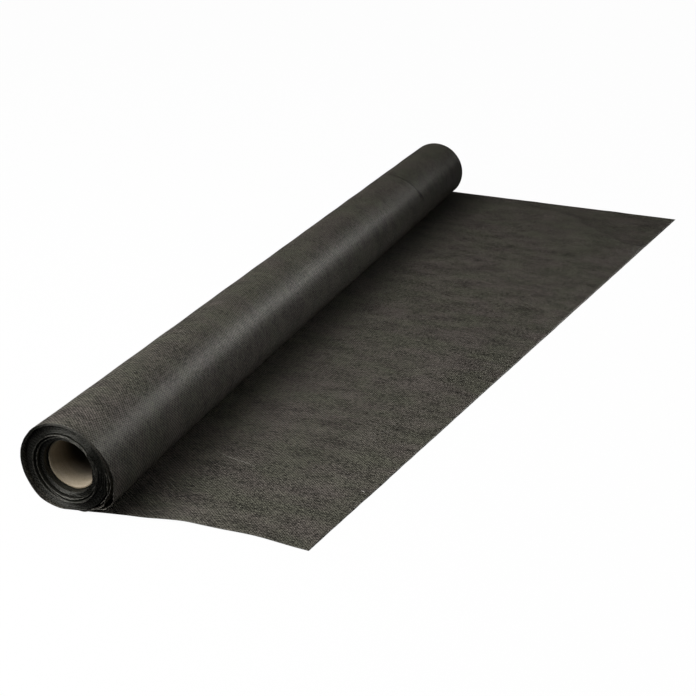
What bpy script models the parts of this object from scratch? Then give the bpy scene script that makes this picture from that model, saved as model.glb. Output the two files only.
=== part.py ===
# Roll of weed control fabric: a web of nonwoven wound on a cardboard tube, its free end laid on the ground.
#
# Metres, +Z up. The roll lies along Y with its photographed end towards -Y, and the free end of the web
# lies towards +X. The origin is on the ground under the middle of the roll.
import math

import bpy

# The web of fabric
web_width = 1.000
web_thickness = 0.0004

# The cardboard core
core_bore = 0.047
core_wall = 0.0015
core_lip = 0.0002

# The turns next to the core, and the turns round them that stand out of the near end
inner_depth = 0.0037
proud_turns = 2.6
proud_gap = 0.00085

# The tight part of the winding, deeper at the near end
tight_depth_near = 0.0089
tight_depth_far = 0.0054
tight_chamfer = 0.0009

# The loose outer turns: the space between them on the round, and under the roll where they are pressed
loose_turns = 2.86
loose_gap = 0.0005
layer_gap = 0.00045

# The flat foot that the roll lies on, out to where the laid sheet starts
foot_length = 0.056

# The slack that hangs out of the loose turns, low on the side of the laid sheet, most at the near end
sag_end_depth = 0.0063
sag_rest_depth = 0.0010
sag_run = 0.120
sag_angle = math.radians(302)
sag_rise = math.radians(115)
sag_fall = math.radians(30)
sag_turn_share = 0.35

# How far each stretch of the winding has slipped along the roll, in from the near end and out at the far end
proud_outer_slip = 0.0002
proud_middle_slip = 0.0042
proud_inner_slip = 0.0023
tight_rim_slip = 0.0045
tight_dish_slip = 0.0036
tight_bore_slip = 0.0020
inner_slip = 0.0062
core_slip = 0.0120

# The strip that holds the web's inner end to the core
tape_margin = 0.050
tape_width = 0.024
tape_thickness = 0.00015
tape_angle = math.radians(140)

# The laid sheet: how far its cut end reaches from the roll at its two edges
reach_near = 0.2235
reach_far = 0.3667

# How far the laid web has run askew along the roll, and the lengths of web over which each edge does so
web_drift = 0.029
drift_start_near = 0.030
drift_run_near = 0.210
drift_start_far = 0.060
drift_run_far = 0.085
drift_ease = 0.6

# The laid sheet's soft folds: one across its far corner, a lift at its near edge, and low ripples
corner_fold_height = 0.0030
corner_fold_width = 0.026
corner_fold_edge_share = 0.46
corner_fold_lead_share = 0.84
edge_lift_height = 0.0022
edge_lift_width = 0.050
edge_lift_run = 0.070
edge_lift_reach_share = 0.54
ripple_height = 0.0009
ripple_length = 0.230

# Clearance between pieces that touch on the real roll
seat_gap = 0.0003

# Fineness of the curved forms, in pieces round one turn and along the length, and the sharpest round edge
round_steps = 64
wind_steps = 48
foot_steps = 5
station_steps = 9
station_crowding = 1.8
sheet_steps_out = 18
sheet_steps_across = 26
tape_steps = 4
merge_length = 0.00001
sharp_angle = math.radians(35)


def along(start, end, share):
    return start + (end - start) * share


def smooth(share):
    """Ease from 0 to 1 with a level start and finish."""
    held = min(max(share, 0.0), 1.0)
    return held * held * (3.0 - 2.0 * held)


# Sizes that follow from the ones above
wind_pitch = web_thickness + loose_gap
layer_rise = web_thickness + layer_gap
proud_pitch = web_thickness + proud_gap
chord_share = math.cos(math.pi / wind_steps)
roll_tilt = math.atan2(tight_depth_near - tight_depth_far, web_width)
layers_under = web_thickness + int(loose_turns) * layer_rise
core_radius = core_bore / 2 + core_wall
tape_radius = core_radius + seat_gap + tape_thickness / 2
inner_bore = tape_radius + tape_thickness / 2 + seat_gap
inner_radius = inner_bore + inner_depth
proud_radius = (inner_radius + seat_gap) / chord_share + web_thickness / 2
tight_bore = proud_radius + proud_turns * proud_pitch + web_thickness / 2 + seat_gap


def near_end(slip):
    return slip - web_width / 2


def far_end(slip):
    return slip + web_width / 2


def drift(path, start, run):
    """Sideways run of the web's edge, at a distance along it from the line under the axis."""
    share = min(max((path + start) / run, 0.0), 1.0)
    return web_drift * math.sin(math.pi / 2 * share ** drift_ease) ** 2


def web_y(path, across):
    """Place across the web, from 0 at its near edge to 1 at its far edge."""
    near = near_end(drift(path, drift_start_near, drift_run_near))
    far = far_end(drift(path, drift_start_far, drift_run_far))
    return along(near, far, across)


def tight_radius(y):
    share = (y - near_end(0.0)) / web_width
    return tight_bore + along(tight_depth_near, tight_depth_far, share)


def middle_radius(y):
    """Radius of the outermost turn, at mid-thickness, with which the innermost clears the tight winding."""
    innermost = (tight_radius(y) + seat_gap) / chord_share + web_thickness / 2
    return innermost + wind_pitch * loose_turns


def axis_height(y):
    """Height of the roll's axis: the tight winding lies on the layers under it."""
    return layers_under + seat_gap + tight_radius(y)


def sag(angle, y):
    """How far a loose turn hangs out from the round, at an angle wound from the foot."""
    turn = int(angle / math.tau)
    side = angle - turn * math.tau - sag_angle
    share = side / (sag_rise if side < 0 else sag_fall)
    if abs(share) >= 1:
        return 0.0
    depth = sag_end_depth * math.exp(-(y - near_end(0.0)) / sag_run) + sag_rest_depth
    return depth * math.cos(share * math.pi / 2) ** 3 * sag_turn_share ** turn


def wind_point(angle, y):
    """Mid-thickness of the loose turns: from the foot, up the back, over and down the front."""
    radius = middle_radius(y) - wind_pitch * angle / math.tau + sag(angle, y)
    layers = int((angle + math.pi) / math.tau)
    lowest = web_thickness / 2 + layers * layer_rise
    height = axis_height(y) - radius * math.cos(angle)
    return -radius * math.sin(angle), max(height, lowest)


def sheet_rise(x, y):
    """Height of the laid sheet's soft folds over the ground, nothing where it starts at the roll's foot."""
    start_x, start_y = corner_fold_edge_share * reach_far, web_y(reach_far, 1.0)
    end_x = along(reach_near, reach_far, corner_fold_lead_share)
    end_y = web_y(end_x, corner_fold_lead_share)
    length = math.hypot(end_x - start_x, end_y - start_y)
    aside = ((x - start_x) * (end_y - start_y) - (y - start_y) * (end_x - start_x)) / length
    fold = corner_fold_height * math.exp(-(aside / corner_fold_width) ** 2)
    from_edge = (y - web_y(x, 0.0)) / edge_lift_width
    from_crest = (x - edge_lift_reach_share * reach_near) / edge_lift_run
    lift = edge_lift_height * math.exp(-from_crest ** 2 - from_edge ** 2)
    long_wave = math.sin(math.tau * (y + x / 2) / ripple_length)
    short_wave = math.sin(math.tau * (y - x) * 2 / ripple_length)
    ripple = ripple_height * max(long_wave + short_wave, 0.0)
    return (fold + lift + ripple) * smooth((x - foot_length) / foot_length)


def clear_scene():
    for obj in list(bpy.data.objects):
        bpy.data.objects.remove(obj, do_unlink=True)


def make_material(name, colour, roughness):
    material = bpy.data.materials.new(name)
    material.use_nodes = True
    shader = material.node_tree.nodes["Principled BSDF"]
    shader.inputs["Base Color"].default_value = (*colour, 1.0)
    shader.inputs["Roughness"].default_value = roughness
    shader.inputs["Metallic"].default_value = 0.0
    return material


def finish(obj, group, material, parent=None):
    """Put a piece in the roll's collection, with its material, on its carrier."""
    for holder in list(obj.users_collection):
        holder.objects.unlink(obj)
    group.objects.link(obj)
    obj.data.materials.append(material)
    obj.parent = parent
    return obj


def mapped_sheet(name, steps_u, steps_v, place, thickness):
    """An open sheet whose points lie at place(u, v), both from 0 to 1, thickened half to each side."""
    bpy.ops.mesh.primitive_grid_add(x_subdivisions=steps_u, y_subdivisions=steps_v, size=1)
    obj = bpy.context.active_object
    obj.name = name
    obj.data.name = name
    for vertex in obj.data.vertices:
        vertex.co = place(vertex.co.x + 1 / 2, vertex.co.y + 1 / 2)
    obj.data.shade_smooth()
    shell = obj.modifiers.new("Thickness", "SOLIDIFY")
    shell.thickness = thickness
    shell.offset = 0.0
    shell.use_even_offset = True
    return obj


def turned(name, profile, group, material, axis):
    """A closed profile of (radius, place along the roll) turned round the roll's axis."""
    mesh = bpy.data.meshes.new(name)
    points = [(radius, 0.0, place) for radius, place in profile]
    mesh.from_pydata(points, [(i, (i + 1) % len(points)) for i in range(len(points))], [])
    obj = bpy.data.objects.new(name, mesh)
    spin = obj.modifiers.new("Turn", "SCREW")
    spin.angle = math.tau
    spin.steps = round_steps
    spin.render_steps = round_steps
    spin.use_merge_vertices = True
    spin.merge_threshold = merge_length
    finish(obj, group, material, axis)
    solid = bpy.data.meshes.new_from_object(obj.evaluated_get(bpy.context.evaluated_depsgraph_get()))
    obj.modifiers.clear()
    obj.data = solid
    solid.name = name
    solid.shade_smooth()
    solid.set_sharp_from_angle(angle=sharp_angle)
    bpy.data.meshes.remove(mesh)
    return obj


def gap_between_turns(spiral):
    """Least clear space between one turn of a spiral and the next, from its points to its chords."""
    least = math.inf
    for i, (px, pz) in enumerate(spiral):
        for j in range(len(spiral) - 1):
            if min(abs(i - j), abs(i - j - 1)) < wind_steps / 2:
                continue
            (ax, az), (bx, bz) = spiral[j], spiral[j + 1]
            run_x, run_z = bx - ax, bz - az
            share = ((px - ax) * run_x + (pz - az) * run_z) / (run_x ** 2 + run_z ** 2)
            share = min(max(share, 0.0), 1.0)
            least = min(least, math.hypot(px - ax - run_x * share, pz - az - run_z * share))
    return least - web_thickness


def report_gap(name, spirals):
    least = min(gap_between_turns(spiral) for spiral in spirals)
    print(f"{name}: least gap to itself {least * 1000:.3f} mm")


def make_loose_winds(group):
    """The web from the laid sheet under the roll and round it, as one unbroken spiral."""
    path_steps = foot_steps + round(loose_turns * wind_steps)

    def path_length(step):
        if step < foot_steps:
            return foot_length * (1 - step / foot_steps)
        return -(step - foot_steps) * math.tau / wind_steps * middle_radius(0.0)

    def section(step, y):
        if step < foot_steps:
            return path_length(step), web_thickness / 2
        return wind_point((step - foot_steps) * math.tau / wind_steps, y)

    def place(u, v):
        step = round(u * path_steps)
        y = web_y(path_length(step), v ** station_crowding)
        x, z = section(step, y)
        return x, y, z

    obj = mapped_sheet("loose_winds", path_steps, station_steps, place, web_thickness)
    stations = [web_y(0.0, (j / station_steps) ** station_crowding) for j in range(station_steps + 1)]
    report_gap("loose_winds", [[section(step, y) for step in range(path_steps + 1)] for y in stations])
    return finish(obj, group, make_material("fabric_loose", (0.055, 0.050, 0.044), 0.85))


def make_laid_sheet(group):
    """The free end on the ground, cut askew, from beside the roll's foot to its leading edge."""

    def place(u, v):
        x = along(foot_length + seat_gap, along(reach_near, reach_far, v), u)
        y = web_y(x, v)
        return x, y, web_thickness / 2 + sheet_rise(x, y)

    obj = mapped_sheet("laid_sheet", sheet_steps_out, sheet_steps_across, place, web_thickness)
    return finish(obj, group, make_material("fabric_laid", (0.060, 0.054, 0.047), 0.9))


def make_tight_winds(group, axis):
    """The tight part of the winding, a thick sleeve whose near end lies deepest next to the loose turns."""
    outer_near = tight_radius(near_end(0.0))
    outer_far = tight_radius(far_end(0.0))
    middle_near = (outer_near + tight_bore) / 2
    middle_far = (outer_far + tight_bore) / 2
    profile = [
        (outer_far - tight_chamfer, far_end(tight_rim_slip)),
        (outer_far, far_end(tight_rim_slip - tight_chamfer)),
        (outer_near, near_end(tight_rim_slip + tight_chamfer)),
        (outer_near - tight_chamfer, near_end(tight_rim_slip)),
        (middle_near, near_end(tight_dish_slip)),
        (tight_bore, near_end(tight_bore_slip)),
        (tight_bore, far_end(tight_bore_slip)),
        (middle_far, far_end(tight_dish_slip)),
    ]
    cloth = make_material("fabric_tight", (0.042, 0.038, 0.033), 0.9)
    return turned("tight_winds", profile, group, cloth, axis)


def make_proud_winds(group, axis):
    """The turns that stand out of the near end, one unbroken spiral wound the way the loose turns are."""
    steps = round(proud_turns * wind_steps)
    step_turn = proud_turns / steps

    def spiral_point(step):
        turn = step * step_turn
        radius = proud_radius + proud_pitch * turn
        return radius * math.cos(turn * math.tau), -radius * math.sin(turn * math.tau)

    def slip(step):
        share = step / steps * 2
        if share < 1:
            return along(proud_inner_slip, proud_middle_slip, smooth(share))
        return along(proud_middle_slip, proud_outer_slip, smooth(share - 1))

    def place(u, v):
        step = round(u * steps)
        x, y = spiral_point(step)
        return x, y, along(near_end(slip(step)), far_end(slip(step)), v)

    obj = mapped_sheet("proud_winds", steps, 1, place, web_thickness)
    report_gap("proud_winds", [[spiral_point(step) for step in range(steps + 1)]])
    return finish(obj, group, make_material("fabric_proud", (0.070, 0.064, 0.056), 0.85), axis)


def make_inner_winds(group, axis):
    """The turns next to the core, slipped along it."""
    profile = [
        (inner_radius, far_end(inner_slip)),
        (inner_radius, near_end(inner_slip)),
        (inner_bore, near_end(inner_slip)),
        (inner_bore, far_end(inner_slip)),
    ]
    cloth = make_material("fabric_inner", (0.048, 0.043, 0.037), 0.9)
    return turned("inner_winds", profile, group, cloth, axis)


def make_core_tube(group, axis):
    """The cardboard tube, as long as the web is wide, its cut edges just broken."""
    near, far = near_end(core_slip), far_end(core_slip)
    bore = core_bore / 2
    profile = [
        (core_radius - core_lip, far),
        (core_radius, far - core_lip),
        (core_radius, near + core_lip),
        (core_radius - core_lip, near),
        (bore + core_lip, near),
        (bore, near + core_lip),
        (bore, far - core_lip),
        (bore + core_lip, far),
    ]
    board = make_material("cardboard", (0.48, 0.38, 0.26), 0.8)
    return turned("core_tube", profile, group, board, axis)


def make_start_tape(group, axis):
    """The strip that holds the web's inner end to the core, curved to it."""
    spread = tape_width / tape_radius

    def place(u, v):
        angle = tape_angle + spread * (u - 1 / 2)
        y = along(near_end(inner_slip + tape_margin), far_end(inner_slip - tape_margin), v)
        return tape_radius * math.cos(angle), tape_radius * math.sin(angle), y

    obj = mapped_sheet("start_tape", tape_steps, 1, place, tape_thickness)
    return finish(obj, group, make_material("tape", (0.62, 0.56, 0.42), 0.45), axis)


def make_roll_axis(group):
    """The roll's axis, along this empty's +Z from the near end to the far end, which lies lower."""
    axis = bpy.data.objects.new("roll_axis", None)
    axis.location = (0.0, 0.0, axis_height(0.0))
    axis.rotation_euler = (-math.pi / 2 - roll_tilt, 0.0, 0.0)
    group.objects.link(axis)
    return axis


def main():
    clear_scene()
    group = bpy.data.collections.new("weed_control_fabric_roll")
    bpy.context.scene.collection.children.link(group)
    axis = make_roll_axis(group)
    make_laid_sheet(group)
    make_loose_winds(group)
    make_tight_winds(group, axis)
    make_proud_winds(group, axis)
    make_inner_winds(group, axis)
    make_start_tape(group, axis)
    make_core_tube(group, axis)


main()
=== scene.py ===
# Roll of weed control fabric: the looks of its web, its cardboard core and its studio.
import math

import bmesh
import bpy
import numpy as np
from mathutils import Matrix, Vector


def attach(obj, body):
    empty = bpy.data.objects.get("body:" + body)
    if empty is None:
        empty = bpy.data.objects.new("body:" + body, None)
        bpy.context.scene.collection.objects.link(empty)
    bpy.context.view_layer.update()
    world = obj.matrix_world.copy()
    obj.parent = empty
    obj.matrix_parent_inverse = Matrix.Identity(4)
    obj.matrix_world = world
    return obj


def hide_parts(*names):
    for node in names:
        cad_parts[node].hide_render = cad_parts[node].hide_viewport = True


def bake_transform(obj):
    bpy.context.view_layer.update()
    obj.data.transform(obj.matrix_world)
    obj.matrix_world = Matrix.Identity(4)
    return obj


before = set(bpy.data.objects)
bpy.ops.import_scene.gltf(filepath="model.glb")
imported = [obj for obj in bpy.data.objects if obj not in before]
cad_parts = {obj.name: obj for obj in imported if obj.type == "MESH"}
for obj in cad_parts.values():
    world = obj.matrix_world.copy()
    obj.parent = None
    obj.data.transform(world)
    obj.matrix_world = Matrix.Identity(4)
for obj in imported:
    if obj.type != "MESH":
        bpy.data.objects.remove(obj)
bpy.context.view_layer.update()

# The camera, in metres and degrees
camera_place = (0.6027, -1.2849, 0.6079)
camera_pitch = math.radians(24.88)
camera_yaw = math.radians(22.82)
camera_lens_mm = 64.67
camera_sensor_mm = 36
camera_reach = 50.0

# The studio: a white floor and the white room round it
floor_side = 12.0
floor_drop = 0.0003
floor_white = (0.80, 0.80, 0.80, 1.0)
floor_grey = (0.12, 0.12, 0.12, 1.0)
floor_lift = 0.98
floor_roughness = 0.9
room_low = 0.0
room_high = 0.04

# The soft lamps: name, place, what it points at, side, strength in watts and spread in degrees
lamps = (
    ("key", (-1.0, -1.2, 1.2), (0.1, 0.0, 0.0), 0.9, 20.5, 180),
    ("side", (-0.8, 0.0, 1.6), (0.1, 0.0, 0.0), 0.9, 7.4, 180),
    ("front_left", (-0.6, -1.6, 0.8), (0.1, 0.0, 0.0), 0.9, 12.5, 180),
    ("front_high", (-0.1, -1.3, 1.5), (0.1, 0.0, 0.0), 0.9, 9.2, 180),
    ("back", (0.964, 1.27, 0.84), (0.04, -0.42, 0.05), 0.6, 0.66, 46),
)

# The web of fabric
web_width = 1.000
web_thickness = 0.00034

# The foot of the web under the roll, and how far its cut end reaches at its two edges
foot_length = 0.056
foot_margin = 0.006
reach_near = 0.2235
reach_far = 0.3667

# How far the laid web has run askew along the roll, and the lengths of web over which each edge does so
web_drift = 0.029
drift_start_near = 0.030
drift_run_near = 0.210
drift_start_far = 0.060
drift_run_far = 0.085
drift_ease = 0.6

# How far the web's cut edges stray from their lines
stray_depth = 0.00022
stray_length = 0.035
stray_run = 0.004
stray_lead_share = 0.1

# The loose outer turns: their count, their pitch, and the rise of each layer under the roll
loose_turns = 2.86
wind_pitch = 0.0009
layer_rise = 0.00085
lowest_layer = 0.0002
layers_under = 0.0021
seat_gap = 0.0003

# The tight part of the winding
tight_bore = 0.033764
tight_depth_near = 0.0089
tight_depth_far = 0.0054
chord_share = math.cos(math.pi / 48)

# The slack that hangs out of the loose turns
sag_end_depth = 0.0063
sag_rest_depth = 0.0010
sag_run = 0.120
sag_angle = math.radians(302)
sag_rise = math.radians(115)
sag_fall = math.radians(30)
sag_turn_share = 0.35

# The laid sheet's soft folds
corner_fold_height = 0.0032
corner_fold_near_width = 0.034
corner_fold_far_width = 0.013
corner_fold_x = 0.255
corner_fold_y = 0.439
corner_fold_run = 0.055
corner_fold_swing = 0.061
corner_fold_start = 0.09
corner_fold_ease = 0.08
edge_lift_height = 0.0022
edge_lift_width = 0.050
edge_lift_run = 0.070
edge_lift_reach_share = 0.54
ripple_height = 0.0009
ripple_length = 0.230
lead_flat = 0.060

# Soft dents on the roll, crumples at its near edge and the crease near its far end
dent_height = 0.00022
dent_along = 0.085
dent_rise = math.radians(60)
dent_fall = math.radians(40)
crumple_height = 0.0008
crumple_length = 0.016
crumple_run = 0.010
crumple_arc = 0.045
crumple_turn_shift = 0.020
front_slack_reach = math.radians(40)
back_slack_angle = math.radians(120)
back_slack_reach = math.radians(35)
back_slack_share = 0.25
crease_place = 0.311
crease_depth = 0.0010
crease_width = 0.0017
crease_bow = 0.0155
crease_low_angle = math.radians(205)
crease_angle = math.radians(216)
crease_reach = math.radians(56)
crease_ridge_share = 1.6
crease_margin_share = 3
crease_step_share = 0.7
# Width of the painted shade along the crease
crease_shade_width = 0.0045

# How far in the near edges of the loose turns lie where they pass under the roll
under_depth = 0.0065
under_reach = math.radians(48)
under_run = 0.030
under_ease = 0.15

# Fineness of the web's mesh
sheet_rows = 72
foot_rows = 10
turn_step = math.radians(5)
fine_step = math.radians(2)
station_near = 0.0012
station_far = 0.0060
station_growth = 1.22
fine_from = math.radians(225)
fine_to = math.radians(345)

# The wound turns, core outward: turns so far, radius at the near and at the far end, slip along the roll
wound_stretches = (
    (0.0, 0.02600, 0.02600, 0.0062),
    (10.0, 0.02955, 0.02955, 0.0062),
    (10.2, 0.03020, 0.03020, 0.0023),
    (12.1, 0.03130, 0.03130, 0.0026),
    (12.4, 0.03220, 0.03220, 0.0052),
    (12.8, 0.03235, 0.03235, 0.0052),
    (13.0, 0.03290, 0.03290, 0.0003),
    (15.2, 0.03410, 0.03400, 0.0008),
    (15.5, 0.03470, 0.03455, 0.0028),
    (24.0, 0.03800, 0.03640, 0.0036),
    (34.14, 0.04245, 0.03895, 0.0045),
)
proud_stretches = ((10.2, 12.1), (13.0, 15.2))
wound_thickness = 0.00022
wound_step = math.radians(3.75)
wound_stations = (0.0, 0.0015, 0.004, 0.012, 0.040, 0.40, 0.96, 0.996, 1.0)
ragged_low = 0.00012
ragged_high = 0.0008
ragged_angle = math.radians(5)
ragged_length = 0.022
ragged_turn_shift = 0.011
ragged_run = 0.020

# The cardboard core
core_bore = 0.047
core_wall = 0.0015
core_slip = 0.0120
core_steps = 144
core_rings = 9
core_ring_margin = 0.030
core_bore_rings = (0.012, 0.004)
ply_count = 3
ply_groove = 0.00006
rim_round = 0.0003
rim_wear = 0.00014
rim_wear_length = 0.020
rim_wear_run = 0.002
weld_gap = 0.000005
# Painted shade: width of the darkened rim at the tube's cut ends
rim_shade_width = 0.0007
# Painted shade inside the tube: depths from each end where the darkening starts and where it is full
bore_shade_start = 0.004
bore_shade_full = 0.038

# Bond dots pressed into the web in a staggered lattice
dot_cell_along = 0.00357
dot_cell_across = 0.00290
dot_strength = 0.85

# Marks in the fabric: length along the web, width across it, contrast and share of the tone
clouds = (0.045, 0.016, 1.8, 0.20)
streaks = (0.014, 0.0017, 2.4, 0.24)
specks = (0.0034, 0.0018, 3.2, 0.28)
fibre_share = 0.28
tone_low = 0.26
tone_high = 0.78
green_patches = (0.060, 0.035, 3.0)
green_shares = (0.92, 1.03, 0.90)

# Gloss and relief of the fabric
fabric_gloss = 0.5
between_roughness = 0.40
dot_roughness = 0.27
fibre_relief = 0.5
streak_relief = 0.6
relief_strength = 0.6
relief_depth = 0.00015

# Filaments of the fabric: length, width and the ways they lie, in degrees from the run of the web
fibre_length = 0.010
fibre_width = 0.0006
fibre_fade = 0.075
fibre_turns = (4, -17, 33, -52, 78)

# The web's cut edges, darkened along them as painted shade, and its pale frayed stretches on the slack
# turns
cut_width = 0.0007
frayed_width = 0.0011
frayed_ease = 0.010
clump_low = 0.25
clump_high = 0.75
thinnest_fray = 0.05
frayed_turns = ((-0.272, -0.206), (-0.545, -0.476), (-0.820, -0.750))

# Tints of the fabric: darkest, palest, pressed dot and frayed edge
outer_tints = ((0.012, 0.0110, 0.0090, 1.0), (0.158, 0.138, 0.121, 1.0), (0.012, 0.011, 0.009, 1.0),
               (0.120, 0.112, 0.098, 1.0))
# The wound turns' tints are darker than the outer ones: painted shade of the roll's recessed end
wound_shade_tints = ((0.005, 0.005, 0.0045, 1.0), (0.028, 0.027, 0.023, 1.0), (0.015, 0.014, 0.012, 1.0),
               (0.075, 0.072, 0.062, 1.0))
# Painted shade along the web's cut edges, and in the crease near the roll's far end
cut_tint = (0.006, 0.006, 0.005, 1.0)
crease_shade_tint = (0.008, 0.008, 0.006, 1.0)
gloss_tint = (1.0, 0.98, 0.88, 1.0)

# The cardboard: its marks' length along the tube, width round it and contrast, and its gloss and relief
board_flecks = (0.0020, 0.0009, 2.2)
board_bands = (0.005, 0.12, 1.4)
board_band_share = 0.55
board_roughness = 0.85
board_gloss = 0.3
board_relief_strength = 0.3
board_relief_depth = 0.0001

# Tints of the cardboard and of the paper tape: the two ends of their range, the painted shade deep inside
# the tube and the painted shade at its cut ends
cardboard_tints = ((0.27, 0.22, 0.15, 1.0), (0.49, 0.42, 0.32, 1.0))
bore_shade_tint = (0.018, 0.013, 0.009, 1.0)
bore_shade_share = 0.96
cut_board_tint = (0.10, 0.075, 0.045, 1.0)
cut_board_share = 0.5
tape_tints = ((0.52, 0.46, 0.33, 1.0), (0.70, 0.64, 0.50, 1.0))
tape_grain = (0.004, 0.001)
tape_roughness = 0.5

# Three stray yarns on the laid sheet: name, tint and the places over the ground that each goes through
yarn_radius = 0.00022
yarn_lift = 0.0005
yarn_tip_share = 0.4
yarn_roughness = 0.5
yarn_mottle = 300.0
yarn_dark_share = 0.6
yarns = (
    ("pale_yarn", (0.36, 0.34, 0.30, 1.0),
     ((0.0689, -0.3478), (0.0808, -0.3535), (0.0907, -0.3556), (0.1093, -0.3582), (0.1189, -0.3624))),
    ("short_yarn", (0.70, 0.68, 0.62, 1.0),
     ((0.2276, -0.3623), (0.2301, -0.3629), (0.2323, -0.3641))),
    ("dark_yarn", (0.010, 0.010, 0.009, 1.0),
     ((0.0781, -0.4386), (0.0812, -0.4354), (0.0861, -0.4352), (0.0943, -0.4420), (0.1022, -0.4484),
      (0.1091, -0.4532))),
)


def along(start, end, share):
    return start + (end - start) * share


def smooth(share):
    """Ease from 0 to 1 with a level start and finish."""
    held = np.clip(share, 0.0, 1.0)
    return held * held * (3.0 - 2.0 * held)


def bell(distance, width):
    return np.exp(-(distance / width) ** 2)


def waves(first, second, length, seed, count=14):
    """Soft random waves over two lengths, about one length from crest to crest, mostly from -2 to 2."""
    dice = np.random.default_rng(seed)
    total = np.zeros(np.broadcast(first, second).shape)
    for _ in range(count):
        heading = dice.uniform(0, math.tau)
        start = dice.uniform(0, math.tau)
        fineness = dice.uniform(0.6, 1.5)
        run = first * math.cos(heading) + second * math.sin(heading)
        total += np.sin(math.tau * fineness * run / length + start)
    return total * math.sqrt(2 / count)


def near_end(slip):
    return slip - web_width / 2


def far_end(slip):
    return slip + web_width / 2


def drift(path, start, run):
    """Sideways run of the web's edge, at a distance along it from the line under the axis."""
    share = np.clip((path + start) / run, 0.0, 1.0)
    return web_drift * np.sin(math.pi / 2 * share ** drift_ease) ** 2


def web_y(path, across):
    """Place across the web, from 0 at its near edge to 1 at its far edge."""
    near = near_end(drift(path, drift_start_near, drift_run_near))
    far = far_end(drift(path, drift_start_far, drift_run_far))
    return along(near, far, across)


def tight_radius(y):
    return tight_bore + along(tight_depth_near, tight_depth_far, (y - near_end(0.0)) / web_width)


def middle_radius(y):
    """Radius of the outermost turn, at mid-thickness."""
    innermost = (tight_radius(y) + seat_gap) / chord_share + lowest_layer
    return innermost + wind_pitch * loose_turns


def axis_height(y):
    return layers_under + seat_gap + tight_radius(y)


def sag(angle, y):
    """How far a loose turn hangs out from the round, at an angle wound from the foot."""
    turn = np.floor(angle / math.tau)
    side = angle - turn * math.tau - sag_angle
    share = np.clip(side / np.where(side < 0, sag_rise, sag_fall), -1.0, 1.0)
    depth = sag_end_depth * np.exp(-(y - near_end(0.0)) / sag_run) + sag_rest_depth
    return depth * np.cos(share * math.pi / 2) ** 3 * sag_turn_share ** turn


def dents(angle, y):
    """Soft outward dents of the loose turns, nothing at the foot."""
    side = angle % math.tau
    arc = side * middle_radius(0.0)
    free = smooth(side / dent_rise) * smooth((math.tau - side) / dent_fall)
    swell = 1 + waves(arc, y, dent_along, seed=3) / 2
    return dent_height * np.clip(swell, 0.0, 2.0) * free


def crumples(angle, y):
    """Small waves of the loose turns' near edge, where they hang slack."""
    turn = np.floor(angle / math.tau)
    side = angle - turn * math.tau
    front = bell(side - sag_angle, front_slack_reach)
    back = back_slack_share * bell(side - back_slack_angle, back_slack_reach)
    near = np.exp(-(y - near_end(0.0)) / crumple_run)
    rough = waves(side * crumple_arc, turn * crumple_turn_shift, crumple_length, seed=5)
    return crumple_height * (front + back) * near * rough


def crease(angle, y):
    """A groove with a ridge beside it, across the top of the outermost turn near its far end."""
    reach = smooth(2.0 * (1 - np.abs(angle - crease_angle) / crease_reach))
    aside = y - crease_place - crease_bow * ((angle - crease_low_angle) / crease_reach) ** 2
    ridge = bell(aside + crease_ridge_share * crease_width, crease_width)
    return reach * crease_depth * (ridge - bell(aside, crease_width))


def wind_point(angle, y):
    """Mid-thickness of the loose turns: from the foot, up the back, over and down the front."""
    radius = middle_radius(y) - wind_pitch * angle / math.tau + sag(angle, y)
    radius = radius + dents(angle, y) + crumples(angle, y) + crease(angle, y)
    layers = np.floor((angle + math.pi) / math.tau)
    lowest = lowest_layer + layers * layer_rise
    height = axis_height(y) - radius * np.cos(angle)
    return -radius * np.sin(angle), np.maximum(height, lowest)


def lead_run(x, y):
    """Distance from a place on the laid sheet to its cut end."""
    return along(reach_near, reach_far, y / web_width + 1 / 2) - x


def sheet_rise(x, y):
    """Height of the laid sheet's soft folds over the ground, nothing along its cut end."""
    bend = np.tanh((x - corner_fold_x) / corner_fold_run)
    slope = corner_fold_swing / corner_fold_run * (1 - bend ** 2)
    aside = (y - corner_fold_y + corner_fold_swing * bend) / np.hypot(1.0, slope)
    fold_width = np.where(aside < 0, corner_fold_near_width, corner_fold_far_width)
    fold = corner_fold_height * bell(aside, fold_width) * smooth(lead_run(x, y) / lead_flat * 3)
    fold = fold * smooth((x - corner_fold_start) / corner_fold_ease)
    from_edge = (y - web_y(x, 0.0)) / edge_lift_width
    from_crest = (x - edge_lift_reach_share * reach_near) / edge_lift_run
    lift = edge_lift_height * np.exp(-from_crest ** 2 - from_edge ** 2)
    long_wave = np.sin(math.tau * (y + x / 2) / ripple_length)
    short_wave = np.sin(math.tau * (y - x) * 2 / ripple_length)
    ripple = ripple_height * np.maximum(long_wave + short_wave, 0.0) * smooth(lead_run(x, y) / lead_flat)
    return (fold + lift + ripple) * smooth((x - foot_length) / foot_length)


def stray(path, seed):
    """How far a cut edge strays from its line."""
    return stray_depth * waves(path, 0.0, stray_length, seed) / 2


def web_stations():
    """Shares across the web, close together at its two edges and at the crease."""
    steps = [station_near]
    while steps[-1] < station_far:
        steps.append(steps[-1] * station_growth)
    edge = np.cumsum([0.0] + steps)
    middle = np.arange(edge[-1] + station_far, web_width - edge[-1] - station_far / 2, station_far)
    crease_start = crease_place - near_end(0.0) - crease_margin_share * crease_width
    crease_end = crease_start + crease_bow + (crease_margin_share + 2) * crease_width
    groove = np.arange(crease_start, crease_end, crease_step_share * crease_width)
    middle = middle[(middle < groove[0] - crease_width) | (middle > groove[-1] + crease_width)]
    return np.sort(np.concatenate([edge, middle, groove, web_width - edge])) / web_width


def turn_angles():
    """Angles wound from the foot, finer where the loose turns hang slack."""
    angles = [0.0]
    last = loose_turns * math.tau
    while angles[-1] < last - 1e-6:
        side = angles[-1] % math.tau
        fine = fine_from < side < fine_to and angles[-1] < 2 * math.tau
        angles.append(min(angles[-1] + (fine_step if fine else turn_step), last))
    return np.array(angles[1:])


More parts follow.
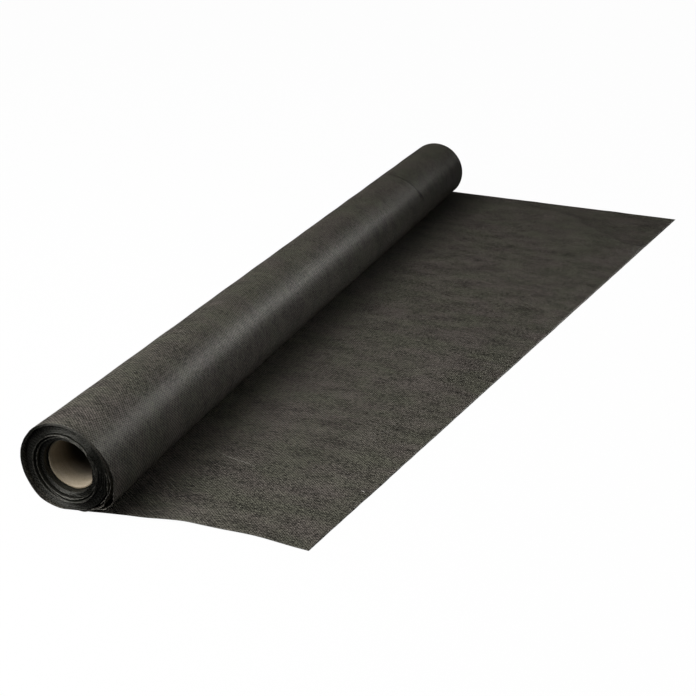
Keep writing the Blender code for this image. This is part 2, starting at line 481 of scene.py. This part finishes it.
def grid_mesh(name, points, across_uv, along_uv, closed=False):
    """A sheet of quads through rows of points, with its texture coordinates in metres."""
    rows, columns = points.shape[:2]
    index = np.arange(rows * columns).reshape(rows, columns)
    if closed:
        index = np.concatenate([index, index[:, :1]], axis=1)
        across_uv = np.concatenate([across_uv, across_uv[:, -1:] * 2 - across_uv[:, -2:-1]], axis=1)
        along_uv = np.concatenate([along_uv, along_uv[:, :1]], axis=1)
    corners = [index[:-1, :-1], index[1:, :-1], index[1:, 1:], index[:-1, 1:]]
    faces = np.stack(corners, axis=-1).reshape(-1, 4)
    mesh = bpy.data.meshes.new(name)
    mesh.from_pydata(points.reshape(-1, 3).tolist(), [], faces.tolist())
    layer = mesh.uv_layers.new(name="web")
    u = [along_uv[:-1, :-1], along_uv[1:, :-1], along_uv[1:, 1:], along_uv[:-1, 1:]]
    v = [across_uv[:-1, :-1], across_uv[1:, :-1], across_uv[1:, 1:], across_uv[:-1, 1:]]
    flat = np.stack([np.stack(u, axis=-1), np.stack(v, axis=-1)], axis=-1).reshape(-1)
    layer.data.foreach_set("uv", flat.astype(np.float32))
    mesh.shade_smooth()
    return mesh


def add_piece(name, mesh, material):
    piece = bpy.data.objects.new(name, mesh)
    bpy.context.scene.collection.objects.link(piece)
    mesh.materials.append(material)
    return piece


def thicken(piece, thickness):
    shell = piece.modifiers.new("Thickness", "SOLIDIFY")
    shell.thickness = thickness
    shell.offset = 0.0
    return piece


def add_yarn(name, places, material):
    """A stray yarn that lies on the laid sheet, thinner at its ends."""
    curve = bpy.data.curves.new(name, "CURVE")
    curve.dimensions = "3D"
    curve.bevel_depth = yarn_radius
    curve.bevel_resolution = 1
    curve.use_fill_caps = True
    spline = curve.splines.new("POLY")
    spline.points.add(len(places) - 1)
    for i, (x, y) in enumerate(places):
        spline.points[i].co = (x, y, float(sheet_rise(x, y)) + yarn_lift, 1.0)
        spline.points[i].radius = along(yarn_tip_share, 1.0, math.sin(math.pi * i / (len(places) - 1)))
    guide = bpy.data.objects.new(name, curve)
    bpy.context.scene.collection.objects.link(guide)
    mesh = bpy.data.meshes.new_from_object(guide.evaluated_get(bpy.context.evaluated_depsgraph_get()))
    bpy.data.objects.remove(guide)
    bpy.data.curves.remove(curve)
    mesh.name = name
    mesh.shade_smooth()
    mesh.materials.clear()
    return add_piece(name, mesh, material)


def make_web(material):
    """The free end of the web, laid out on the ground, with its foot and the loose turns, all in one."""
    shares = web_stations()
    rows = []
    for share in np.linspace(1.0, 0.0, sheet_rows, endpoint=False):
        x = along(foot_length, along(reach_near, reach_far, shares), share)
        x = x + stray(shares, seed=21) * smooth(1 - (1 - share) / stray_lead_share)
        y = web_y(x, shares)
        rows.append((x, y, lowest_layer + sheet_rise(x, y), x))
    for x in np.linspace(foot_length, 0.0, foot_rows + 1):
        path = np.full(shares.shape, x)
        rows.append((path, web_y(path, shares), np.full(shares.shape, lowest_layer), path))
    for angle in turn_angles():
        path = np.full(shares.shape, -angle * middle_radius(0.0))
        y = web_y(path, shares)
        x, z = wind_point(np.full(shares.shape, angle), y)
        rows.append((x, y, z, path))
    x, y, z, path = (np.array(column) for column in zip(*rows))
    edge = np.exp(-shares * web_width / stray_run)
    under = bell((path / middle_radius(0.0) + math.pi) % math.tau - math.pi, under_reach) * (path < 0)
    under = under * (1 - smooth(1 + path / under_ease))
    y = y + under_depth * under * np.exp(-shares * web_width / under_run)
    y = y + stray(path, seed=11) * edge - stray(path, seed=12) * edge[::-1]
    across = np.broadcast_to(shares * web_width, path.shape)
    mesh = grid_mesh("web", np.stack([x, y, z], axis=-1), across, path)
    return thicken(add_piece("web", mesh, material), web_thickness)


def roll_frame():
    """The roll's axis: a point on it over the origin and the unit steps along it and down across it."""
    tilt = math.atan2(tight_depth_near - tight_depth_far, web_width)
    middle = np.array([0.0, 0.0, axis_height(0.0)])
    ahead = np.array([0.0, math.cos(tilt), -math.sin(tilt)])
    up = np.array([0.0, math.sin(tilt), math.cos(tilt)])
    return middle, ahead, up


def on_roll(angle, radius, place):
    """Points round the roll's axis: the angle turns as the web winds inward, from straight down."""
    middle, ahead, up = roll_frame()
    side = np.array([1.0, 0.0, 0.0])
    steps = (-radius * np.sin(angle), -radius * np.cos(angle), place)
    return middle + sum(step[..., None] * way for step, way in zip(steps, (side, up, ahead)))


def wound_run():
    """Turns so far, radius at the near end and length of web so far, from the core outward."""
    turns, near_radii = np.array(wound_stretches)[:, :2].T
    turn = np.arange(0.0, turns[-1], wound_step / math.tau)
    near = np.interp(turn, turns, near_radii)
    return turn, near, np.cumsum(near) * wound_step


def proud_paths():
    """The stretches of web whose edge stands out of the near end."""
    turn, _, length = wound_run()
    return [np.interp(stretch, turn, length) for stretch in proud_stretches]


def make_wound_fabric(material):
    """The rest of the web, wound tight from the core outward in one spiral, its edges as they slipped."""
    turns, _, far_radii, slips = (np.array(column) for column in zip(*wound_stretches))
    turn, near, length = wound_run()
    turn, near = turn[:, None], near[:, None]
    share = np.array(wound_stations)[None, :]
    far = np.interp(turn, turns, far_radii)
    angle = -turn * math.tau
    rag = along(ragged_low, ragged_high, (1 + np.cos(angle + math.pi / 2 + ragged_angle)) ** 2 / 4)
    rag = rag * waves(length[:, None], turn * ragged_turn_shift, ragged_length, seed=31)
    slip = np.interp(turn, turns, slips) + rag * np.exp(-share * web_width / ragged_run)
    radius = along(near, far, share)
    points = on_roll(*np.broadcast_arrays(angle, radius, along(near_end(slip), far_end(slip), share)))
    path = np.broadcast_to(length[:, None], radius.shape)
    across = np.broadcast_to(share * web_width, radius.shape)
    mesh = grid_mesh("wound_fabric", points, across, path)
    piece = thicken(add_piece("wound_fabric", mesh, material), wound_thickness)
    return piece, float(length[-1])


def make_core(material):
    """The cardboard tube, its plies showing as fine grooves in its cut ends."""
    bore, outer = core_bore / 2, core_bore / 2 + core_wall
    near, far = near_end(core_slip), far_end(core_slip)
    ply = core_wall / ply_count
    rim = [(bore, rim_round), (bore + rim_round / 3, rim_round / 3)]
    for i in range(1, ply_count):
        groove = bore + ply * i
        rim += [(groove - ply / 5, 0.0), (groove, ply_groove), (groove + ply / 5, 0.0)]
    rim += [(outer - rim_round / 3, rim_round / 3), (outer, rim_round)]
    profile = [(radius, near + depth) for radius, depth in rim]
    rings = np.linspace(near + core_ring_margin, far - core_ring_margin, core_rings)
    profile += [(outer, place) for place in rings]
    profile += [(radius, far - depth) for radius, depth in reversed(rim)]
    profile += [(bore, place) for place in rings[::-1]]
    profile += [(bore, near + depth) for depth in core_bore_rings] + [profile[0]]
    angle = np.linspace(0.0, math.tau, core_steps, endpoint=False)
    radius = np.array([point[0] for point in profile])[:, None] * np.ones(core_steps)
    place = np.array([point[1] for point in profile])[:, None] * np.ones(core_steps)
    wear = rim_wear * waves(angle * outer, 0.0, rim_wear_length, seed=41)
    place = place + wear * (bell(place - near, rim_wear_run) + bell(place - far, rim_wear_run))
    points = on_roll(angle[None, :] + 0 * radius, radius, place)
    steps = [np.diff(column[:, 0], prepend=column[0, 0]) for column in (radius, place)]
    length = np.cumsum(np.hypot(*steps))
    around = angle[None, :] * outer + 0 * radius
    mesh = grid_mesh("core", points, around, length[:, None] + 0 * radius, closed=True)
    shape = bmesh.new()
    shape.from_mesh(mesh)
    bmesh.ops.remove_doubles(shape, verts=shape.verts, dist=weld_gap)
    bmesh.ops.recalc_face_normals(shape, faces=shape.faces)
    shape.to_mesh(mesh)
    shape.free()
    mesh.shade_smooth()
    return add_piece("core", mesh, material)


def add_node(tree, kind, inputs=None, **settings):
    """A node with its settings, each input set to a value or joined to a socket."""
    node = tree.nodes.new(kind)
    for name, value in settings.items():
        setattr(node, name, value)
    for name, value in (inputs or {}).items():
        if isinstance(value, bpy.types.NodeSocket):
            tree.links.new(value, node.inputs[name])
        else:
            node.inputs[name].default_value = value
    return node


def calculate(tree, operation, first, second=0.0):
    return add_node(tree, "ShaderNodeMath", {0: first, 1: second}, operation=operation).outputs[0]


def ramp(tree, value, low, high, to_low=0.0, to_high=1.0):
    inputs = {"Value": value, "From Min": low, "From Max": high, "To Min": to_low, "To Max": to_high}
    return add_node(tree, "ShaderNodeMapRange", inputs, interpolation_type="SMOOTHSTEP").outputs["Result"]


def mix_colours(tree, share, first, second):
    return add_node(tree, "ShaderNodeMix", {0: share, 6: first, 7: second}, data_type="RGBA").outputs[2]


def mix_values(tree, share, first, second):
    return add_node(tree, "ShaderNodeMix", {0: share, 2: first, 3: second}, data_type="FLOAT").outputs[0]


def new_group(name, inputs, outputs):
    """A shader node group with named inputs and outputs, with its inside input and output nodes."""
    group = bpy.data.node_groups.new(name, "ShaderNodeTree")
    for label, value in inputs.items():
        kind = "NodeSocketVector" if isinstance(value, tuple) else "NodeSocketFloat"
        socket = group.interface.new_socket(label, in_out="INPUT", socket_type=kind)
        socket.default_value = value
    for label in outputs:
        group.interface.new_socket(label, in_out="OUTPUT", socket_type="NodeSocketFloat")
    return group, group.nodes.new("NodeGroupInput").outputs, group.nodes.new("NodeGroupOutput").inputs


def place_group(tree, group, inputs):
    node = add_node(tree, "ShaderNodeGroup", node_tree=group)
    for name, value in inputs.items():
        if isinstance(value, bpy.types.NodeSocket):
            tree.links.new(value, node.inputs[name])
        else:
            node.inputs[name].default_value = value
    return node.outputs


def make_bond_dots():
    """Dots in a staggered lattice: 1 on each dot, 0 between."""
    inputs = {"Vector": (0.0, 0.0, 0.0), "Cell Along": dot_cell_along, "Cell Across": dot_cell_across,
              "Low": 0.10, "High": 0.50}
    group, given, result = new_group("bond_dots", inputs, ["Dots"])
    parts = add_node(group, "ShaderNodeSeparateXYZ", {"Vector": given["Vector"]}).outputs
    rows = []
    for part, cell in ((parts["X"], "Cell Along"), (parts["Y"], "Cell Across")):
        turns = calculate(group, "DIVIDE", part, given[cell])
        rows.append(calculate(group, "COSINE", calculate(group, "MULTIPLY", turns, math.tau)))
    both = calculate(group, "MULTIPLY", *rows)
    group.links.new(ramp(group, both, given["Low"], given["High"]), result["Dots"])
    return group


def make_stretched_noise():
    """Soft noise whose blots have a length along the web and a length across it."""
    inputs = {"Vector": (0.0, 0.0, 0.0), "Length": 0.03, "Width": 0.01, "Detail": 2.0, "Turn": 0.0,
              "Contrast": 1.0}
    group, given, result = new_group("stretched_noise", inputs, ["Value"])
    inputs = {"Vector": given["Vector"], "Angle": given["Turn"]}
    turned = add_node(group, "ShaderNodeVectorRotate", inputs, rotation_type="Z_AXIS").outputs[0]
    inputs = {"X": given["Length"], "Y": given["Width"], "Z": 1.0}
    size = add_node(group, "ShaderNodeCombineXYZ", inputs).outputs[0]
    scaled = add_node(group, "ShaderNodeVectorMath", {0: turned, 1: size}, operation="DIVIDE")
    inputs = {"Vector": scaled.outputs[0], "Scale": 1.0, "Detail": given["Detail"], "Roughness": 0.55}
    noise = add_node(group, "ShaderNodeTexNoise", inputs, noise_dimensions="2D")
    centred = calculate(group, "SUBTRACT", noise.outputs["Fac"], 0.5)
    strong = calculate(group, "MULTIPLY", centred, given["Contrast"])
    group.links.new(calculate(group, "ADD", strong, 0.5), result["Value"])
    return group


def make_frayed_stretch():
    """Loose fibres along the near edge on one stretch of the web: 1 where they lie thick, 0 elsewhere."""
    inputs = {"Vector": (0.0, 0.0, 0.0), "Specks": 0.5, "Start": 0.0, "End": 1.0, "Width": frayed_width,
              "Ease": frayed_ease}
    group, given, result = new_group("frayed_stretch", inputs, ["Fray"])
    parts = add_node(group, "ShaderNodeSeparateXYZ", {"Vector": given["Vector"]}).outputs
    full_from = calculate(group, "ADD", given["Start"], given["Ease"])
    full_to = calculate(group, "SUBTRACT", given["End"], given["Ease"])
    started = ramp(group, parts["X"], given["Start"], full_from)
    unended = ramp(group, parts["X"], given["End"], full_to)
    by_edge = ramp(group, parts["Y"], given["Width"], calculate(group, "DIVIDE", given["Width"], 3.0))
    clumps = ramp(group, given["Specks"], clump_low, clump_high, thinnest_fray)
    fray = calculate(group, "MULTIPLY", started, unended)
    fray = calculate(group, "MULTIPLY", fray, by_edge)
    group.links.new(calculate(group, "MULTIPLY", fray, clumps), result["Fray"])
    return group


def make_cut_edge():
    """Painted shade along the web's two edges: 1 along them, 0 past a given width from them."""
    inputs = {"Vector": (0.0, 0.0, 0.0), "Width": cut_width}
    group, given, result = new_group("cut_edge", inputs, ["Edge"])
    across = add_node(group, "ShaderNodeSeparateXYZ", {"Vector": given["Vector"]}).outputs["Y"]
    across = calculate(group, "MINIMUM", across, calculate(group, "SUBTRACT", web_width, across))
    edge = ramp(group, across, given["Width"], calculate(group, "DIVIDE", given["Width"], 3.0))
    group.links.new(edge, result["Edge"])
    return group


def make_laid_fibres(noise):
    """Fine filaments laid every way, more of them along the web: 1 on a filament, 0 between."""
    inputs = {"Vector": (0.0, 0.0, 0.0), "Length": fibre_length, "Width": fibre_width}
    group, given, result = new_group("laid_fibres", inputs, ["Fibres"])
    best = None
    for turn in fibre_turns:
        values = {"Vector": given["Vector"], "Length": given["Length"], "Width": given["Width"],
                  "Detail": 1.0, "Turn": math.radians(turn)}
        value = place_group(group, noise, values)["Value"]
        off = calculate(group, "ABSOLUTE", calculate(group, "SUBTRACT", value, 0.5))
        line = ramp(group, off, fibre_fade, 0.0)
        best = line if best is None else calculate(group, "MAXIMUM", best, line)
    group.links.new(best, result["Fibres"])
    return group


def new_material(name, roughness=0.8):
    material = bpy.data.materials.new(name)
    material.use_nodes = True
    tree = material.node_tree
    shader = tree.nodes["Principled BSDF"]
    shader.inputs["Roughness"].default_value = roughness
    return material, tree, shader


def web_vector(tree, laid_from=None):
    """Lengths along and across the web; on the laid sheet the first is its place on the ground."""
    uv = add_node(tree, "ShaderNodeUVMap", uv_map="web").outputs["UV"]
    if laid_from is None:
        return uv
    parts = add_node(tree, "ShaderNodeSeparateXYZ", {"Vector": uv}).outputs
    ground = add_node(tree, "ShaderNodeTexCoord").outputs["Object"]
    ground_x = add_node(tree, "ShaderNodeSeparateXYZ", {"Vector": ground}).outputs["X"]
    laid = calculate(tree, "GREATER_THAN", parts["X"], laid_from)
    run = mix_values(tree, laid, parts["X"], ground_x)
    return add_node(tree, "ShaderNodeCombineXYZ", {"X": run, "Y": parts["Y"]}).outputs["Vector"]


def painted_crease_shade(tree, vector):
    """Painted shade in the crease across the roll near its far end: 1 along it, 0 elsewhere."""
    parts = add_node(tree, "ShaderNodeSeparateXYZ", {"Vector": vector}).outputs
    angle = calculate(tree, "DIVIDE", parts["X"], -middle_radius(0.0))
    share = calculate(tree, "DIVIDE", calculate(tree, "SUBTRACT", angle, crease_low_angle), crease_reach)
    bow = calculate(tree, "MULTIPLY", calculate(tree, "MULTIPLY", share, share), crease_bow)
    line = calculate(tree, "ADD", bow, crease_place - near_end(0.0))
    aside = calculate(tree, "ABSOLUTE", calculate(tree, "SUBTRACT", parts["Y"], line))
    past = calculate(tree, "ABSOLUTE", calculate(tree, "SUBTRACT", angle, crease_angle))
    reach = ramp(tree, past, crease_reach, crease_reach / 2)
    return calculate(tree, "MULTIPLY", ramp(tree, aside, crease_shade_width, crease_shade_width / 4), reach)


def add_relief(tree, shader, height, strength, depth):
    inputs = {"Height": height, "Strength": strength, "Distance": depth}
    tree.links.new(add_node(tree, "ShaderNodeBump", inputs).outputs["Normal"], shader.inputs["Normal"])


def place_blots(tree, groups, vector, length, width, contrast=1.0):
    """Soft noise of one size on a surface."""
    inputs = {"Vector": vector, "Length": length, "Width": width, "Contrast": contrast}
    return place_group(tree, groups["noise"], inputs)["Value"]


def make_fabric(name, groups, tints, frayed, laid_from=None):
    """Black bonded fabric: filaments, cloudy streaks, pressed dots, a pale fray on some stretches, and
    painted shade along its edges and, on the laid web, in the crease.
    """
    material, tree, shader = new_material(name)
    dark, light, dot_tint, frayed_tint = tints
    vector = web_vector(tree, laid_from)
    marks = [place_blots(tree, groups, vector, *mark[:3]) for mark in (clouds, streaks, specks)]
    fibres = place_group(tree, groups["fibres"], {"Vector": vector})["Fibres"]
    dots = place_group(tree, groups["dots"], {"Vector": vector})["Dots"]
    tone = 0.0
    for mark, share in zip(marks + [fibres], (clouds[3], streaks[3], specks[3], fibre_share)):
        tone = calculate(tree, "ADD", calculate(tree, "MULTIPLY", mark, share), tone)
    pale = mix_colours(tree, place_blots(tree, groups, vector, *green_patches), light, greener(light))
    colour = mix_colours(tree, ramp(tree, tone, tone_low, tone_high), dark, pale)
    colour = mix_colours(tree, calculate(tree, "MULTIPLY", dots, dot_strength), colour, dot_tint)
    if laid_from is not None:
        # Painted shade in the crease on the laid web
        colour = mix_colours(tree, painted_crease_shade(tree, vector), colour, crease_shade_tint)
    # Painted shade along the web's cut edges
    cut = place_group(tree, groups["cut"], {"Vector": vector})["Edge"]
    colour = mix_colours(tree, cut, colour, cut_tint)
    for start, end in frayed:
        inputs = {"Vector": vector, "Specks": marks[2], "Start": start, "End": end}
        fray = place_group(tree, groups["frayed"], inputs)["Fray"]
        colour = mix_colours(tree, fray, colour, frayed_tint)
    tree.links.new(colour, shader.inputs["Base Color"])
    tree.links.new(mix_values(tree, dots, between_roughness, dot_roughness), shader.inputs["Roughness"])
    shader.inputs["Specular IOR Level"].default_value = fabric_gloss
    shader.inputs["Specular Tint"].default_value = gloss_tint
    relief = calculate(tree, "SUBTRACT", calculate(tree, "MULTIPLY", fibres, fibre_relief), dots)
    relief = calculate(tree, "ADD", relief, calculate(tree, "MULTIPLY", marks[1], streak_relief))
    add_relief(tree, shader, relief, relief_strength, relief_depth)
    return material


def greener(colour):
    """The greenish tint of some patches of the fabric."""
    return tuple(part * share for part, share in zip(colour, green_shares)) + (1.0,)


def make_cardboard(groups):
    """Tan cardboard: flecks, faint bands round the tube, and painted shade at its cut ends and deeper in
    from each end.
    """
    material, tree, shader = new_material("cardboard", board_roughness)
    vector = web_vector(tree)
    flecks = place_blots(tree, groups, vector, *board_flecks)
    bands = place_blots(tree, groups, vector, *board_bands)
    tone = mix_values(tree, board_band_share, flecks, bands)
    colour = mix_colours(tree, tone, *cardboard_tints)
    ground = add_node(tree, "ShaderNodeTexCoord").outputs["Object"]
    place = add_node(tree, "ShaderNodeSeparateXYZ", {"Vector": ground}).outputs["Y"]
    from_middle = calculate(tree, "ABSOLUTE", calculate(tree, "SUBTRACT", place, core_slip))
    from_end = calculate(tree, "SUBTRACT", web_width / 2, from_middle)
    # Painted shade: the board darkens with depth from each end of the tube
    bore_shade = ramp(tree, from_end, bore_shade_start, bore_shade_full, 0.0, bore_shade_share)
    colour = mix_colours(tree, bore_shade, colour, bore_shade_tint)
    # Painted shade on the tube's cut ends
    cut = ramp(tree, from_end, rim_shade_width, rim_shade_width / 3, 0.0, cut_board_share)
    colour = mix_colours(tree, cut, colour, cut_board_tint)
    tree.links.new(colour, shader.inputs["Base Color"])
    shader.inputs["Specular IOR Level"].default_value = board_gloss
    add_relief(tree, shader, flecks, board_relief_strength, board_relief_depth)
    return material


def make_tape(groups):
    """Pale paper tape."""
    material, tree, shader = new_material("paper_tape", tape_roughness)
    ground = add_node(tree, "ShaderNodeTexCoord").outputs["Object"]
    colour = mix_colours(tree, place_blots(tree, groups, ground, *tape_grain), *tape_tints)
    tree.links.new(colour, shader.inputs["Base Color"])
    return material


def make_yarn_material(name, colour):
    material, tree, shader = new_material(name, yarn_roughness)
    place = add_node(tree, "ShaderNodeTexCoord").outputs["Object"]
    noise = add_node(tree, "ShaderNodeTexNoise", {"Vector": place, "Scale": yarn_mottle}).outputs["Fac"]
    darker = tuple(part * yarn_dark_share for part in colour[:3]) + (1.0,)
    tree.links.new(mix_colours(tree, noise, darker, colour), shader.inputs["Base Color"])
    return material


def make_floor():
    """A floor that throws little light up, lifted to white where it is seen, with the roll's shadow."""
    mesh = bpy.data.meshes.new("floor")
    half = floor_side / 2
    corners = [(-half, -half), (half, -half), (half, half), (-half, half)]
    mesh.from_pydata([(x, y, -floor_drop) for x, y in corners], [], [(0, 1, 2, 3)])
    floor = bpy.data.objects.new("floor", mesh)
    bpy.context.scene.collection.objects.link(floor)
    material, tree, shader = new_material("floor_white", floor_roughness)
    shader.inputs["Specular IOR Level"].default_value = 0.0
    white = add_node(tree, "ShaderNodeEmission", {"Color": (1.0, 1.0, 1.0, 1.0), "Strength": 1.0})
    rays = add_node(tree, "ShaderNodeLightPath").outputs
    seen = rays["Is Camera Ray"]
    tree.links.new(mix_colours(tree, seen, floor_grey, floor_white), shader.inputs["Base Color"])
    share = calculate(tree, "MULTIPLY", seen, floor_lift)
    blend = add_node(tree, "ShaderNodeMixShader", {0: share, 1: shader.outputs[0], 2: white.outputs[0]})
    tree.links.new(blend.outputs[0], tree.nodes["Material Output"].inputs["Surface"])
    mesh.materials.append(material)


def make_room():
    """White where the camera looks past the floor; as a light, brighter overhead than near the ground."""
    world = bpy.data.worlds.new("room")
    world.use_nodes = True
    tree = world.node_tree
    tree.nodes.clear()
    heading = add_node(tree, "ShaderNodeTexCoord").outputs["Generated"]
    height = add_node(tree, "ShaderNodeSeparateXYZ", {"Vector": heading}).outputs["Z"]
    strength = ramp(tree, height, 0.0, 1.0, room_low, room_high)
    seen = add_node(tree, "ShaderNodeLightPath").outputs["Is Camera Ray"]
    strength = mix_values(tree, seen, strength, 1.0)
    light = add_node(tree, "ShaderNodeBackground", {"Color": (1.0, 1.0, 1.0, 1.0), "Strength": strength})
    output = add_node(tree, "ShaderNodeOutputWorld", {"Surface": light.outputs[0]})
    output.is_active_output = True
    bpy.context.scene.world = world


def make_lamps():
    for name, place, aim, side, watts, spread in lamps:
        data = bpy.data.lights.new(name, "AREA")
        data.shape = "SQUARE"
        data.size = side
        data.energy = watts
        data.spread = math.radians(spread)
        lamp = bpy.data.objects.new(name, data)
        bpy.context.scene.collection.objects.link(lamp)
        lamp.location = place
        lamp.rotation_euler = (Vector(aim) - Vector(place)).to_track_quat("-Z", "Y").to_euler()


def make_camera():
    data = bpy.data.cameras.new("camera")
    data.lens = camera_lens_mm
    data.sensor_width = camera_sensor_mm
    data.clip_end = camera_reach
    camera = bpy.data.objects.new("camera", data)
    bpy.context.scene.collection.objects.link(camera)
    camera.location = camera_place
    camera.rotation_euler = (math.pi / 2 - camera_pitch, 0.0, camera_yaw)
    bpy.context.scene.camera = camera


def main():
    bpy.context.scene.view_settings.view_transform = "Standard"
    make_camera()
    make_floor()
    make_room()
    make_lamps()
    groups = {"dots": make_bond_dots(), "noise": make_stretched_noise(), "frayed": make_frayed_stretch(),
              "cut": make_cut_edge()}
    groups["fibres"] = make_laid_fibres(groups["noise"])
    laid_from = foot_length - foot_margin
    laid = make_fabric("fabric_outer", groups, outer_tints, frayed_turns, laid_from)
    # The wound turns take darker tints: painted shade on the roll's end
    tight = make_fabric("fabric_wound_shaded", groups, wound_shade_tints, proud_paths())
    web = make_web(laid)
    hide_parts("laid_sheet", "loose_winds")
    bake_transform(web)

    wound, wound_length = make_wound_fabric(tight)
    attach(wound, "roll")
    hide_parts("inner_winds", "proud_winds", "tight_winds")

    for name, tint, places in yarns:
        yarn = add_yarn(name, places, make_yarn_material(name, tint))
        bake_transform(yarn)

    core = make_core(make_cardboard(groups))
    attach(core, "roll")
    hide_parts("core_tube")

    tape = bpy.data.objects["start_tape"]
    tape.material_slots[0].material = make_tape(groups)


main()
